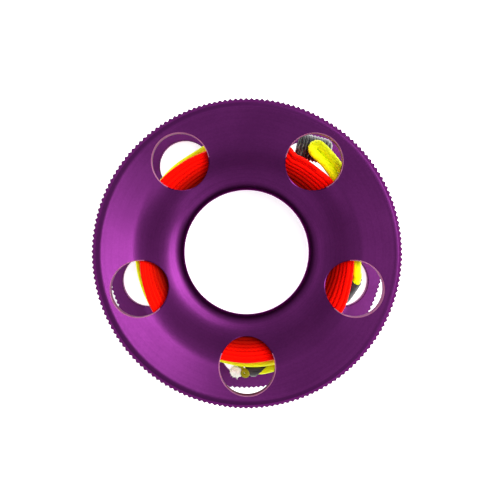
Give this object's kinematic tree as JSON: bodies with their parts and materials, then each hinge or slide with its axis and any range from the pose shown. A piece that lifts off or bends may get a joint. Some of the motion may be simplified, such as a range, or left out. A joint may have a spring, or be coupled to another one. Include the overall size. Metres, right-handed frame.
{
  "type": "finger spool",
  "caption": "Diver's finger spool: two dished, knurled flanges with round holes on a hub with a finger bore, wound with guide line and a leader cord that ends in a pull loop.",
  "frame": {"origin": "on the spool's axis, at the plane that the rear rim rests on", "axes": "+Z along the spool's axis, out of the front flange; +Y up in the picture's view, opposite the lowest hole; +X to the view's right"},
  "size_m": [0.0932, 0.0932, 0.044],
  "materials": {
    "anodised": "satin bead-blasted, violet anodised",
    "guide_line": "braided line, red-orange",
    "leader_yellow": "braided cord, high-visibility yellow",
    "shrink_black": "matt shrink sleeve",
    "toggle_black": "ribbed matt rubber",
    "core_cream": "frayed core fibres"
  },
  "bodies": {
    "root": {"front_flange": "anodised", "rear_flange": "anodised", "hub_barrel": "anodised", "line_core": "guide_line", "line_winding": "guide_line", "leader_knot": "guide_line", "leader_cord": "leader_yellow", "neck_sleeve": "shrink_black", "tail_sleeve": "shrink_black", "core_tuft": "core_cream", "ribbed_toggle": "toggle_black"}
  },
  "joints": []
}
